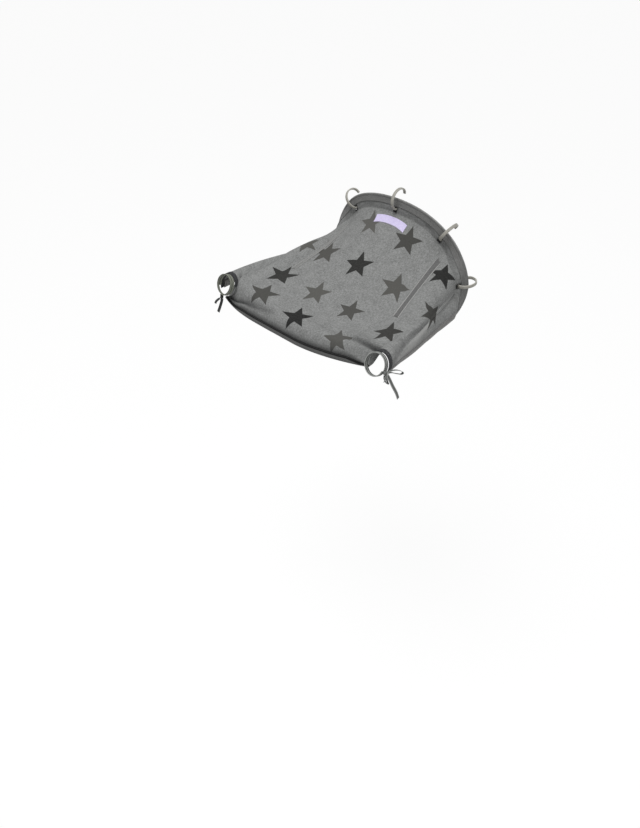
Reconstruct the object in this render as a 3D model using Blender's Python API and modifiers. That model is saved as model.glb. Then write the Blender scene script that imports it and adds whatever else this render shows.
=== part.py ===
# Pram sun shade: a printed cloth stretched from the rim of a pram's hood to the two sides of its handle.
# Five hinged claws clip its arched back edge to the hood, and a tape tie at each front corner goes
# round the handle. Metres, +Z up, +X to the pram's right and +Y from the handle to the hood. The origin
# is on the axis of the hood's rim tube, where the middle claw holds it.
import math
from bisect import bisect_right

import bmesh
import bpy
from mathutils import Matrix, Vector

# The tubes that the shade is fastened to
HOOD_TUBE_RADIUS = 0.0120
RIM_ABOVE_TUBE = 0.0030
HANDLE_TUBE_RADIUS = 0.0217
HANDLE_X = 0.226
HANDLE_Y = -0.3313
HANDLE_Z = -0.1704
HANDLE_TILT = 22.0

# The arch of the back edge, which leans back from its crown and is drawn in on the left
ARCH_HALF_WIDTH = 0.2005
ARCH_HEIGHT = 0.161
ARCH_SWEEP = 106.0
ARCH_POWER = 2.2
ARCH_LEAN = 0.10
END_PULL = 0.050
END_FROM = 0.78
LEFT_DRAW = 0.013
LEFT_DROP = 0.006
LEFT_DRAWN = (0.25, 0.75)

# The flange that carries the claws, and how far it stands up from the cloth, in degrees
FLANGE_WIDTH = 0.033
FLANGE_CROWN_TURN = 80.0
FLANGE_SIDE_TURN = 22.0
FLANGE_END_TURN = -25.0
CROWN_TO_SIDE = (0.47, 0.72)
SIDE_TO_END = (0.85, 1.0)

# The front edge: a sagging hem between two cups that lie over the handle's tubes
CUP_RADIUS = 0.0252
CUP_OFFSET = 0.0135
CUP_START = 215.0
CUP_END = -35.0
CUP_FROM = 0.72
CUP_BLEND = (0.70, 0.88)
HEM_SAG = 0.034
HEM_BOW = 0.010
HEM_HANG = 1.6
ROLL_HEIGHT = 0.034
ROLL_AT = 0.085
ROLL_LEAN = -0.30
ROLL_FADE = (0.50, 0.72)

# How the cloth runs up from the front edge and meets the flange
MEET_TURN = 62.0
MEET_FADE = (0.35, 0.85)

# How far the sides bow outwards, and the drawn-up cloth between the middle and the handle's tubes
SIDE_BOW = 0.020
SIDE_BOWED = (0.60, 0.82)
DRAWN_HEIGHT = 0.016
DRAWN_AT = 0.70
DRAWN_WIDTH = 0.11
DRAWN_START = (0.02, 0.16)
DRAWN_END = (0.45, 1.0)
REACH_FRONT = 0.80
REACH_FLANGE = 0.45
DIP = 0.22

# Folds in the cloth's own places, each from (across, along) to (across, along), its width and height
FOLDS = (
    (-0.62, 0.80, -0.53, 0.36, 0.050, -0.0060),
    (-0.73, 0.80, -0.66, 0.36, 0.050, 0.0040),
    (0.84, 0.88, 0.87, 0.34, 0.050, -0.0050),
    (0.42, 0.20, 0.66, 0.12, 0.045, 0.0050),
)
FOLD_START = (-0.3, 0.2)
FOLD_END = (0.8, 1.3)

# Materials' thicknesses and the clearance between sewn layers
CLOTH = 0.0010
HEM_CLOTH = 0.0008
TAPE = 0.0022
GAP = 0.0003

# The net that every cloth piece is cut from: half of its columns, and its rows up to the flange
HALF_COLUMNS = (0.04, 0.115, 0.20, 0.28, 0.35, 0.43, 0.48, 0.53, 0.573, 0.62, 0.67, 0.72,
                0.765, 0.805, 0.85, 0.89, 0.93, 0.965, 1.0)
CLOTH_ROWS = (0.0, 0.028, 0.07, 0.12, 0.20, 0.30, 0.41, 0.52, 0.63, 0.74, 0.865, 0.935, 1.0)

# Where the sewn pieces lie on it: columns counted from the middle, and rows from the front edge
LABEL_COLUMN = 1
SLOT_BAND_COLUMNS = (7, 8)
FRONT_HEM_COLUMN = 9
CORNER_HEM_COLUMN = 13
LABEL_ROWS = (10, 11)
SLOT_BAND_ROWS = (6, 11)

# The rim: a folded band round a springy rod
BAND_WIDTH = 0.018
CLOTH_END = 0.008
ROD_RADIUS = 0.0015
ROD_PLAY = 0.0005
ROD_SHORT = 0.003

# The claws: each place across the arch, and how far it is lifted at rest, in degrees
CLAWS = ((-0.8275, 0.0), (-0.39, 12.0), (0.0, 10.0), (0.39, -3.0), (0.785, 6.0))
CLAW_INSET = 0.0235
CLAW_DEPTH = 0.0030
HOOK_WIDTH = 0.0068
HOOK_THICKNESS = 0.0032
HOOK_EDGE = 0.0005
HOOK_RADIUS = 0.0235
HOOK_STEM = 0.0040
HOOK_ROOT_RADIUS = 0.006
HOOK_ROOT_TURN = 38.0
HOOK_TURN = 165.0
HOOK_TIP_RADIUS = 0.014
HOOK_TIP_TURN = 70.0
HINGE_BAR_RADIUS = 0.0022
HINGE_BAR_LENGTH = 0.0145
SLOT_CLEARANCE = 0.0005
POCKET_CLOTH = 0.0007
POCKET_WIDTH = 0.0135
POCKET_INBOARD = 0.0090
LIFT_LOW = -10.0
LIFT_HIGH = 45.0

# The ties: tape wound twice round each side of the handle and knotted
TIE_TURNS = 2
TURN_STEPS = 20
LEFT_TAPE_WIDTH = 0.0064
RIGHT_TAPE_WIDTH = 0.0052
TURN_SPACE = 0.0004
TIE_SEAT_GAP = 0.0003
KNOT_SIZE = (0.009, 0.0085, 0.0075)
TAIL_WIDTH = 0.007
TAIL_TAPE = 0.0009
TAPE_SEWN_ANGLE = -20.0
LEFT_KNOT_ANGLE = -90.0
RIGHT_KNOT_ANGLE = -14.0

GREY_CLOTH = (0.235, 0.230, 0.225)
BAND_CLOTH = (0.175, 0.168, 0.160)
DARK_CLOTH = (0.045, 0.045, 0.047)
TAPE_CLOTH = (0.060, 0.062, 0.064)
LABEL_CLOTH = (0.66, 0.62, 0.78)
GREY_PLASTIC = (0.33, 0.33, 0.32)


def eased(x, low, high):
    t = min(max((x - low) / (high - low), 0.0), 1.0)
    return t * t * (3 - 2 * t)


def heading(degrees):
    return Vector((math.cos(math.radians(degrees)), math.sin(math.radians(degrees))))


# The claw's shape in the plane across its hinge: first number outwards, second towards the front

def hook_path():
    """The hook's centre line, as points with their headings from the hinge to the tip."""
    point, angle = HOOK_STEM * heading(90.0), 90.0
    path = [(Vector((0.0, 0.0)), angle), (point, angle)]
    arcs = (
        (HOOK_ROOT_RADIUS, HOOK_ROOT_TURN, 3),
        (HOOK_RADIUS, HOOK_TURN, 14),
        (HOOK_TIP_RADIUS, HOOK_TIP_TURN, 6),
    )
    for radius, turn, steps in arcs:
        centre = point + radius * heading(angle - 90)
        for step in range(1, steps + 1):
            now = angle - turn * step / steps
            path.append((centre + radius * heading(now + 90), now))
        point, angle = path[-1]
    return path


# The back edge and its flange

def flange_turn(u):
    crown_to_side = FLANGE_CROWN_TURN - FLANGE_SIDE_TURN
    side_to_end = FLANGE_SIDE_TURN - FLANGE_END_TURN
    turned = crown_to_side * eased(abs(u), *CROWN_TO_SIDE) + side_to_end * eased(abs(u), *SIDE_TO_END)
    return math.radians(FLANGE_CROWN_TURN - turned)


def rod_inset():
    """How far the rod's axis is inside the outer line; the rim band's bead is as thick again."""
    return ROD_RADIUS + ROD_PLAY + HEM_CLOTH


def crown_point():
    """The back edge's top, in front of the hood's tube, whose axis is at the origin."""
    out, front = RIM_ABOVE_TUBE, HOOD_TUBE_RADIUS + GAP + rod_inset()
    sine, cosine = math.sin(flange_turn(0.0)), math.cos(flange_turn(0.0))
    return Vector((0.0, out * cosine - front * sine, out * sine + front * cosine))


def rim_point(u):
    """The back edge's outer line, from u = -1 at its left end to 1 at its right end."""
    angle = math.radians(ARCH_SWEEP) * u
    sine, cosine = math.sin(angle), math.cos(angle)
    across = ARCH_HALF_WIDTH * math.copysign(abs(sine) ** (2 / ARCH_POWER), sine)
    drop = ARCH_HEIGHT * (1 - math.copysign(abs(cosine) ** (2 / ARCH_POWER), cosine))
    pulled = END_PULL * (max(abs(u) - END_FROM, 0.0) / (1 - END_FROM)) ** 2
    left = eased(-u, *LEFT_DRAWN)
    return crown_point() + Vector((across + LEFT_DRAW * left, ARCH_LEAN * drop - pulled,
                                   -drop - LEFT_DROP * left))


def rim_axes(u):
    """Unit vectors along the back edge, away from its middle, backwards, and out along the flange."""
    step = 0.001
    along = (rim_point(u + step) - rim_point(u - step)).normalized()
    radial = along.cross(Vector((0, 1, 0))).normalized()
    back = radial.cross(along)
    turn = flange_turn(u)
    return along, radial, back, math.sin(turn) * radial + math.cos(turn) * back


def flange_point(u, inset, height=0.0):
    """A point on the flange, by its distance from the outer line and its height off the cloth."""
    along, _, _, out = rim_axes(u)
    return rim_point(u) - inset * out + height * along.cross(out)


def flange_row(inset):
    return 2 - inset / FLANGE_WIDTH


# The front edge and the cloth between

def handle_point(angle, radius, along=0.0, side=1):
    """A point round one of the handle's tubes; along is positive towards the cloth."""
    turn, tilt = math.radians(angle), math.radians(HANDLE_TILT)
    across, up = radius * math.cos(turn), radius * math.sin(turn)
    return Vector((side * (HANDLE_X + across),
                   HANDLE_Y + up * math.sin(tilt) + along * math.cos(tilt),
                   HANDLE_Z + up * math.cos(tilt) - along * math.sin(tilt)))


def front_point(u):
    """The front edge: a hanging hem in the middle and a cup over the handle's tube at each end."""
    side, reach = math.copysign(1.0, u), abs(u)
    if reach > CUP_FROM:
        angle = CUP_START + (CUP_END - CUP_START) * (reach - CUP_FROM) / (1 - CUP_FROM)
        return handle_point(angle, CUP_RADIUS, CUP_OFFSET, side)
    end = handle_point(CUP_START, CUP_RADIUS, CUP_OFFSET)
    part = reach / CUP_FROM
    hang = 1 - part ** HEM_HANG
    return Vector((side * end.x * part, end.y - HEM_BOW * hang, end.z - HEM_SAG * hang))


def fold_height(u, v):
    height = 0.0
    for u_from, v_from, u_to, v_to, width, peak in FOLDS:
        du, dv = u_to - u_from, v_to - v_from
        place = ((u - u_from) * du + (v - v_from) * dv) / (du * du + dv * dv)
        off = ((u - u_from) * dv - (v - v_from) * du) / math.hypot(du, dv)
        held = eased(place, *FOLD_START) * (1 - eased(place, *FOLD_END))
        height += peak * held * math.exp(-((off / width) ** 2))
    return height


def cloth_point(u, v):
    """The cloth's middle: v is 0 at the front edge, 1 where the flange starts and 2 at its outer line."""
    if v > 1:
        return flange_point(u, FLANGE_WIDTH * (2 - v))
    reach = abs(u)
    _, radial, back, out = rim_axes(u)
    start, end = front_point(u), rim_point(u) - FLANGE_WIDTH * out
    chord = end - start
    side = eased(reach, *CUP_BLEND)
    turn = math.radians(MEET_TURN) * (1 - eased(reach, *MEET_FADE))
    arrive = (math.sin(turn) * radial + math.cos(turn) * back) * chord.length * REACH_FLANGE
    arrive = arrive.lerp(chord, side)
    leave = chord - Vector((0, 0, DIP * chord.length * (1 - side)))
    leave *= REACH_FRONT * (1 - side) + side
    point = (2 * v**3 - 3 * v**2 + 1) * start + (v**3 - 2 * v**2 + v) * leave
    point += (3 * v**2 - 2 * v**3) * end + (v**3 - v**2) * arrive
    roll = ROLL_HEIGHT * (1 - eased(reach, *ROLL_FADE))
    drawn = DRAWN_HEIGHT * math.exp(-(((reach - DRAWN_AT) / DRAWN_WIDTH) ** 2))
    drawn *= eased(v, *DRAWN_START) * (1 - eased(v, *DRAWN_END))
    rise = roll * v / ROLL_AT * math.exp(1 - v / ROLL_AT) + fold_height(u, v) + drawn
    bow = SIDE_BOW * eased(reach, *SIDE_BOWED) * math.sin(math.pi * v)
    return point + rise * Vector((0, ROLL_LEAN, 1)) + Vector((math.copysign(bow, u), 0, 0))


# Shared builders

def clear_scene():
    for item in list(bpy.data.objects):
        bpy.data.objects.remove(item)


def collection(name):
    made = bpy.data.collections.new(name)
    bpy.context.scene.collection.children.link(made)
    return made


def material(name, colour, roughness, metallic=0.0):
    made = bpy.data.materials.new(name)
    made.use_nodes = True
    shader = made.node_tree.nodes["Principled BSDF"]
    shader.inputs["Base Color"].default_value = (*colour, 1.0)
    shader.inputs["Roughness"].default_value = roughness
    shader.inputs["Metallic"].default_value = metallic
    made.diffuse_color = (*colour, 1.0)
    return made


def grid_mesh(name, rows, turned=()):
    """A surface through rows of points. Every square is split the same way, but for turned strips of them."""
    width = len(rows[0])
    bm = bmesh.new()
    bmesh.ops.create_grid(bm, x_segments=width - 1, y_segments=len(rows) - 1, size=1.0)
    bm.verts.ensure_lookup_table()
    for index, vert in enumerate(bm.verts):
        vert.co = rows[index // width][index % width]
    strips = [index % (width - 1) in turned for index in range(len(bm.faces))]
    faces = bm.faces[:]
    plain = [face for face, other in zip(faces, strips) if not other]
    crossed = [face for face, other in zip(faces, strips) if other]
    bmesh.ops.triangulate(bm, faces=plain, quad_method="FIXED")
    bmesh.ops.triangulate(bm, faces=crossed, quad_method="ALTERNATE")
    mesh = bpy.data.meshes.new(name)
    bm.to_mesh(mesh)
    bm.free()
    return mesh


def add_object(name, mesh, parts, finish, place=None):
    made = bpy.data.objects.new(name, mesh)
    parts.objects.link(made)
    if not mesh.materials:
        mesh.materials.append(finish)
    if place is not None:
        made.matrix_world = place
    return made


def add_sheet(name, rows, thickness, parts, finish, turned=()):
    made = add_object(name, grid_mesh(name, rows, turned), parts, finish)
    solidify = made.modifiers.new("thickness", "SOLIDIFY")
    solidify.thickness = thickness
    solidify.offset = 0.0
    return made


def smooth_path(points, steps):
    """Points along a smooth curve through the given ones."""
    ends = [2 * points[0] - points[1], *points, 2 * points[-1] - points[-2]]
    path = []
    for index in range(len(points) - 1):
        a, b, c, d = ends[index:index + 4]
        for step in range(steps):
            t = step / steps
            path.append(0.5 * (2 * b + (c - a) * t + (2 * a - 5 * b + 4 * c - d) * t**2
                               + (3 * b - a - 3 * c + d) * t**3))
    return path + [points[-1]]


# The cloth net: every sewn piece takes its points from it

COLUMNS = [-u for u in reversed(HALF_COLUMNS)] + list(HALF_COLUMNS)
MIDDLE = len(HALF_COLUMNS)
ROWS = list(CLOTH_ROWS) + [flange_row(BAND_WIDTH), flange_row(CLOTH_END)]


class Net:
    def __init__(self):
        self.points = [[cloth_point(u, v) for u in COLUMNS] for v in ROWS]
        self.mesh = grid_mesh("main_panel", self.points)
        width = len(COLUMNS)
        normals = [vert.normal.copy() for vert in self.mesh.vertices]
        self.normals = [normals[row * width:(row + 1) * width] for row in range(len(ROWS))]

    def at(self, row, column, height=0.0):
        return self.points[row][column] + height * self.normals[row][column]

    def between(self, u, v, height=0.0):
        """A point on the net's own flat squares, raised off them."""
        column = min(max(bisect_right(COLUMNS, u) - 1, 0), len(COLUMNS) - 2)
        row = min(max(bisect_right(ROWS, v) - 1, 0), len(ROWS) - 2)
        s = (u - COLUMNS[column]) / (COLUMNS[column + 1] - COLUMNS[column])
        t = (v - ROWS[row]) / (ROWS[row + 1] - ROWS[row])
        low = self.at(row, column, height).lerp(self.at(row, column + 1, height), s)
        high = self.at(row + 1, column, height).lerp(self.at(row + 1, column + 1, height), s)
        return low.lerp(high, t)


HEM_LIFT = CLOTH / 2 + GAP + HEM_CLOTH / 2


def hem_section(edge, edge_normal, inner, inner_normal):
    """A hem's cloth folded round one place of an edge."""
    out = (edge - inner).normalized()
    shoulder = edge + HEM_CLOTH / 2 * out
    return [inner + HEM_LIFT * inner_normal, shoulder + HEM_LIFT * edge_normal, edge + (HEM_LIFT + GAP) * out,
            shoulder - HEM_LIFT * edge_normal, inner - HEM_LIFT * inner_normal]


def add_edge_hem(name, columns, net, parts, finish):
    """A stretch of hem along the front edge, over some of the columns."""
    rows = [hem_section(net.points[0][j], net.normals[0][j], net.points[1][j], net.normals[1][j])
            for j in columns]
    add_sheet(name, rows, HEM_CLOTH, parts, finish, turned=(0,))


def add_side_hem(name, edge, inner, net, parts):
    """A hem down one side, between the front hem and the rim band."""
    last = len(CLOTH_ROWS)
    edges, inners = [], []
    for column, line in ((edge, edges), (inner, inners)):
        for row in range(1, last + 1):
            line.append((net.points[row][column].copy(), net.normals[row][column]))
    space = 2 * GAP
    for line in (edges, inners):
        for end, near in ((0, 1), (-1, -2)):
            point = line[end][0]
            point += space * (line[near][0] - point).normalized()
    rows = [hem_section(*edges[k], *inners[k]) for k in range(last)]
    turned = (0,) if edge == 0 else (3,)
    add_sheet(name, rows, HEM_CLOTH, parts, material(name, BAND_CLOTH, 0.9), turned)


def add_patch(name, columns, ends, net, parts, finish):
    """A piece of cloth sewn on the panel, over some of the columns and between two rows."""
    rows = [[net.at(i, j, HEM_LIFT) for j in columns] for i in range(ends[0], ends[1] + 1)]
    add_sheet(name, rows, HEM_CLOTH, parts, finish)


def add_rim(net, parts):
    radius = ROD_RADIUS + ROD_PLAY + HEM_CLOTH / 2
    inset = rod_inset()
    band_row, end_row = len(CLOTH_ROWS), len(CLOTH_ROWS) + 1
    rows = []
    for j, u in enumerate(COLUMNS):
        bead = [flange_point(u, inset - radius * heading(angle).x, radius * heading(angle).y)
                for angle in (135, 90, 45, 0, -45, -90, -135)]
        rows.append([net.at(band_row, j, HEM_LIFT), net.at(end_row, j, HEM_LIFT), *bead,
                     net.at(end_row, j, -HEM_LIFT), net.at(band_row, j, -HEM_LIFT)])
    under = len(rows[0]) - 2
    add_sheet("rim_band", rows, HEM_CLOTH, parts, material("rim_band", BAND_CLOTH, 0.9), turned=(under,))
    curve = bpy.data.curves.new("rim_rod", "CURVE")
    curve.dimensions = "3D"
    curve.bevel_depth = ROD_RADIUS
    curve.bevel_resolution = 2
    curve.use_fill_caps = True
    line = [flange_point(u, inset) for u in COLUMNS]
    for end, near in ((0, 1), (-1, -2)):
        line[end] += ROD_SHORT * (line[near] - line[end]).normalized()
    spline = curve.splines.new("POLY")
    spline.points.add(len(line) - 1)
    for point, place in zip(spline.points, line):
        point.co = (*place, 1.0)
    rod = bpy.data.objects.new("rim_rod", curve)
    parts.objects.link(rod)
    curve.materials.append(material("rod_plastic", (0.8, 0.8, 0.8), 0.5))


# The claws

def hinge_place(u, net):
    """A claw's hinge: its axes are out, front and along the arch, and square to the net."""
    row = flange_row(CLAW_INSET)
    along = (net.between(u + 0.015, row) - net.between(u - 0.015, row)).normalized()
    out = net.between(u, flange_row(BAND_WIDTH)) - net.between(u, 1.0)
    front = along.cross(out).normalized()
    place = Matrix((front.cross(along), front, along)).transposed().to_4x4()
    place.translation = net.between(u, row) - CLAW_DEPTH * front
    return place


def hook_outline():
    path = hook_path()
    half = HOOK_THICKNESS / 2
    outer = [point + half * heading(angle + 90) for point, angle in path]
    inner = [point + half * heading(angle - 90) for point, angle in path]
    tip, angle = path[-1]
    nose = [tip + half * heading(angle + turn) for turn in (45, 0, -45)]
    return outer + nose + inner[::-1]


def claw_mesh(cutters):
    """The flat hook and its hinge bar as one solid, about the hinge's axis."""
    curve = bpy.data.curves.new("hook", "CURVE")
    curve.dimensions = "2D"
    curve.fill_mode = "BOTH"
    curve.extrude = HOOK_WIDTH / 2 - HOOK_EDGE
    curve.bevel_depth = HOOK_EDGE
    curve.bevel_resolution = 0
    curve.offset = -HOOK_EDGE
    outline = hook_outline()
    spline = curve.splines.new("POLY")
    spline.points.add(len(outline) - 1)
    spline.use_cyclic_u = True
    for point, place in zip(spline.points, outline):
        point.co = (place.x, place.y, 0.0, 1.0)
    drawn = bpy.data.objects.new("hook_curve", curve)
    cutters.objects.link(drawn)
    graph = bpy.context.evaluated_depsgraph_get()
    mesh = bpy.data.meshes.new_from_object(drawn.evaluated_get(graph))
    bpy.data.objects.remove(drawn)
    bm = bmesh.new()
    bm.from_mesh(mesh)
    bmesh.ops.remove_doubles(bm, verts=bm.verts, dist=0.00001)
    bmesh.ops.recalc_face_normals(bm, faces=bm.faces)
    bm.to_mesh(mesh)
    bm.clear()
    bmesh.ops.create_cone(bm, cap_ends=True, segments=12, radius1=HINGE_BAR_RADIUS,
                          radius2=HINGE_BAR_RADIUS, depth=HINGE_BAR_LENGTH)
    bar_mesh = bpy.data.meshes.new("hinge_bar")
    bm.to_mesh(bar_mesh)
    bm.free()
    hook = bpy.data.objects.new("hook_blank", mesh)
    bar = bpy.data.objects.new("hinge_bar", bar_mesh)
    cutters.objects.link(hook)
    cutters.objects.link(bar)
    union = hook.modifiers.new("union", "BOOLEAN")
    union.operation = "UNION"
    union.solver = "EXACT"
    union.object = bar
    graph = bpy.context.evaluated_depsgraph_get()
    graph.update()
    joined = bpy.data.meshes.new_from_object(hook.evaluated_get(graph))
    bpy.data.objects.remove(hook)
    bpy.data.objects.remove(bar)
    joined.name = "claw"
    joined.materials.clear()
    joined.set_sharp_from_angle(angle=math.radians(40))
    return joined


def slot_reach(lift):
    """How far from the hinge a slit has to reach for the claw's stem at this lift."""
    turn = math.radians(abs(lift))
    return CLAW_DEPTH * math.tan(turn) + HOOK_THICKNESS / 2 / math.cos(turn) + SLOT_CLEARANCE


def cut_slot(number, place, panel, cutters):
    """The slit that a claw's stem comes through, long enough for its whole swing."""
    bm = bmesh.new()
    bmesh.ops.create_cube(bm, size=1.0)
    inboard, outboard = slot_reach(LIFT_HIGH), slot_reach(LIFT_LOW)
    across = HOOK_WIDTH + 2 * SLOT_CLEARANCE
    bmesh.ops.scale(bm, vec=(inboard + outboard, 4 * CLAW_DEPTH, across), verts=bm.verts)
    bmesh.ops.translate(bm, vec=((outboard - inboard) / 2, CLAW_DEPTH, 0), verts=bm.verts)
    mesh = bpy.data.meshes.new(f"slot_cutter_{number}")
    bm.to_mesh(mesh)
    bm.free()
    cutter = bpy.data.objects.new(mesh.name, mesh)
    cutters.objects.link(cutter)
    cutter.matrix_world = place
    cutter.hide_render = True
    cutter.display_type = "WIRE"
    cut = panel.modifiers.new(mesh.name, "BOOLEAN")
    cut.operation = "DIFFERENCE"
    cut.solver = "EXACT"
    cut.object = cutter


def add_pocket(number, u, place, net, parts, finish):
    """A short tape under the flange that holds a claw's hinge bar."""
    per_u = (rim_point(u + 0.01) - rim_point(u - 0.01)).length / 0.02
    radius = HINGE_BAR_RADIUS + GAP + POCKET_CLOTH / 2
    lift = -(CLOTH / 2 + GAP + POCKET_CLOTH / 2)
    outboard = CLAW_INSET - BAND_WIDTH - GAP
    rows = []
    for shift in (-0.5, 0.0, 0.5):
        station = shift * POCKET_WIDTH
        v_u = u + station / per_u
        inner = (POCKET_INBOARD, slot_reach(LIFT_HIGH))
        sewn = [net.between(v_u, flange_row(CLAW_INSET + inset), lift) for inset in inner]
        loop = [place @ Vector((*(radius * heading(angle)), station)) for angle in (200, 235, 270, 305, 340)]
        held = [net.between(v_u, flange_row(CLAW_INSET - inset), lift) for inset in (radius + 2 * GAP, outboard)]
        rows.append(sewn + loop + held)
    add_sheet(f"claw_pocket_{number}", rows, POCKET_CLOTH, parts, finish)


def add_claws(net, panel, parts, cutters):
    mesh = claw_mesh(cutters)
    plastic = material("claw_plastic", GREY_PLASTIC, 0.45)
    tape = material("pocket_tape", DARK_CLOTH, 0.9)
    for number, (u, lift) in enumerate(CLAWS, 1):
        place = hinge_place(u, net)
        add_object(f"claw_{number}", mesh, parts, plastic, place @ Matrix.Rotation(math.radians(lift), 4, "Z"))
        cut_slot(number, place, panel, cutters)
        add_pocket(number, u, place, net, parts, tape)


# The ties

WRAP_RADIUS = HANDLE_TUBE_RADIUS + GAP + TAPE / 2


def wrap_end():
    """The front hem's outer face along the handle, which the windings lie beside."""
    return CUP_OFFSET - HEM_LIFT - GAP - HEM_CLOTH / 2


def wound_tape(name, side, width, knot_angle, parts, finish):
    """Tape wound round the handle's tube, from where it is sewn to the corner hem to its knot."""
    pitch = width + TURN_SPACE
    sewn = wrap_end() - TIE_SEAT_GAP - width / 2
    turns = TIE_TURNS + (knot_angle - TAPE_SEWN_ANGLE) / 360
    steps = round(turns * TURN_STEPS)
    rows = []
    for step in range(steps + 1):
        angle = TAPE_SEWN_ANGLE + 360 * turns * step / steps
        along = sewn - pitch * turns * step / steps
        rows.append([handle_point(angle, WRAP_RADIUS, along + way * width / 2, side) for way in (-1, 1)])
    add_sheet(name, rows, TAPE, parts, finish)
    return sewn - pitch * (turns - 0.5)


def add_knot(name, centre, parts, finish):
    bm = bmesh.new()
    bmesh.ops.create_uvsphere(bm, u_segments=12, v_segments=8, radius=0.5)
    bmesh.ops.scale(bm, vec=KNOT_SIZE, verts=bm.verts)
    mesh = bpy.data.meshes.new(name)
    bm.to_mesh(mesh)
    bm.free()
    mesh.shade_smooth()
    return add_object(name, mesh, parts, finish, Matrix.Translation(centre))


def add_ribbon(name, start, path, across, width, parts, finish):
    """Flat tape along a smooth curve, its points counted from the start."""
    across = Vector(across).normalized() * width / 2
    points = smooth_path([start + Vector(place) for place in path], 3)
    add_sheet(name, [[point - across, point + across] for point in points], TAIL_TAPE, parts, finish)


def add_ties(parts):
    finish = material("tie_tape", TAPE_CLOTH, 0.85)
    reach = WRAP_RADIUS + TAPE / 2 + GAP
    middle = wound_tape("left_tie", -1, LEFT_TAPE_WIDTH, LEFT_KNOT_ANGLE, parts, finish)
    knot = handle_point(LEFT_KNOT_ANGLE, reach + KNOT_SIZE[2] / 2 + GAP, middle, -1)
    add_knot("left_knot", knot, parts, finish)
    below = knot - Vector((0, 0, KNOT_SIZE[2] / 2 + GAP + TAIL_TAPE / 2))
    add_ribbon("left_tail_short", below + Vector((-0.0005, -0.0045, 0.002)),
               ((0, 0, 0), (-0.0015, -0.004, -0.0015), (-0.003, -0.009, -0.005), (-0.0035, -0.012, -0.0095)),
               (1, 0, 0), TAIL_WIDTH, parts, finish)
    add_ribbon("left_tail_long", below,
               ((0, 0.001, 0), (-0.001, -0.001, -0.009), (-0.0025, -0.005, -0.020), (-0.005, -0.0095, -0.033)),
               (1, 0.3, 0), TAIL_WIDTH, parts, finish)
    middle = wound_tape("right_tie", 1, RIGHT_TAPE_WIDTH, RIGHT_KNOT_ANGLE, parts, finish)
    knot = handle_point(RIGHT_KNOT_ANGLE, reach + KNOT_SIZE[0] / 2 + GAP, middle)
    add_knot("right_knot", knot, parts, finish)
    side = knot + Vector((0, KNOT_SIZE[1] / 2 + GAP + TAIL_TAPE / 2, 0))
    add_ribbon("right_loop_upper", side,
               ((0, 0, 0.0005), (0.0045, 0.012, 0.001), (0.0055, 0.028, -0.006), (0.005, 0.043, -0.018),
                (0.0045, 0.039, -0.021), (0.004, 0.024, -0.0125), (0.003, 0.010, -0.004), (0, 0.0012, -0.002)),
               (1, 0, 0), RIGHT_TAPE_WIDTH, parts, finish)
    low = knot - Vector((0, 0, KNOT_SIZE[2] / 2 + GAP + TAIL_TAPE / 2))
    add_ribbon("right_loop_lower", low,
               ((0, -0.001, 0), (0.001, -0.002, -0.008), (0.002, 0.004, -0.020), (0.001, 0.009, -0.0235),
                (0, 0.0085, -0.019), (0, 0.005, -0.010), (0, 0.0012, -0.0015)),
               (1, 0, 0), RIGHT_TAPE_WIDTH, parts, finish)
    out = knot + Vector((KNOT_SIZE[0] / 2 + GAP + TAIL_TAPE / 2, 0, 0))
    add_ribbon("right_tail_long", out,
               ((0, 0, -0.001), (0.0035, 0.004, -0.012), (0.004, 0.014, -0.032), (0.0045, 0.026, -0.054),
                (0.0035, 0.035, -0.073)),
               (0, 1, 0.4), TAIL_WIDTH, parts, finish)
    add_ribbon("right_tail_short", out + Vector((-0.0005, -0.001, 0.0012)),
               ((0, 0, 0), (0.003, -0.003, 0.0005), (0.0045, -0.008, -0.004), (0.004, -0.012, -0.011)),
               (0, 1, 1), RIGHT_TAPE_WIDTH, parts, finish)


def build():
    clear_scene()
    parts = collection("pram_sun_shade")
    cutters = collection("cutters")
    net = Net()
    panel = add_object("main_panel", net.mesh, parts, material("panel_cloth", GREY_CLOTH, 0.9))
    solidify = panel.modifiers.new("thickness", "SOLIDIFY")
    solidify.thickness = CLOTH
    solidify.offset = 0.0
    hem_ribbon = material("hem_ribbon", DARK_CLOTH, 0.9)
    hem, corner = FRONT_HEM_COLUMN, CORNER_HEM_COLUMN
    add_edge_hem("front_hem", range(MIDDLE - 1 - hem, MIDDLE + hem + 1), net, parts, hem_ribbon)
    add_edge_hem("corner_hem_left", range(MIDDLE - corner), net, parts, hem_ribbon)
    add_edge_hem("corner_hem_right", range(MIDDLE + corner, len(COLUMNS)), net, parts, hem_ribbon)
    add_side_hem("side_hem_left", 0, 1, net, parts)
    add_side_hem("side_hem_right", -1, -2, net, parts)
    add_rim(net, parts)
    band_cloth = material("slot_band", BAND_CLOTH, 0.9)
    inner, outer = SLOT_BAND_COLUMNS
    left, right = range(MIDDLE - 1 - outer, MIDDLE - inner), range(MIDDLE + inner, MIDDLE + outer + 1)
    add_patch("slot_band_left", left, SLOT_BAND_ROWS, net, parts, band_cloth)
    add_patch("slot_band_right", right, SLOT_BAND_ROWS, net, parts, band_cloth)
    columns = range(MIDDLE - 1 - LABEL_COLUMN, MIDDLE + LABEL_COLUMN + 1)
    add_patch("label", columns, LABEL_ROWS, net, parts, material("label", LABEL_CLOTH, 0.6))
    add_claws(net, panel, parts, cutters)
    add_ties(parts)


build()
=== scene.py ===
# Pram sun shade, dressed for a picture: printed cloth, sewn bands, hinged claws and knotted tape ties
from functools import partialmethod
from math import cos, exp, hypot, pi, radians, sin

import bpy
import numpy as np
from mathutils import Matrix, Vector


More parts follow.
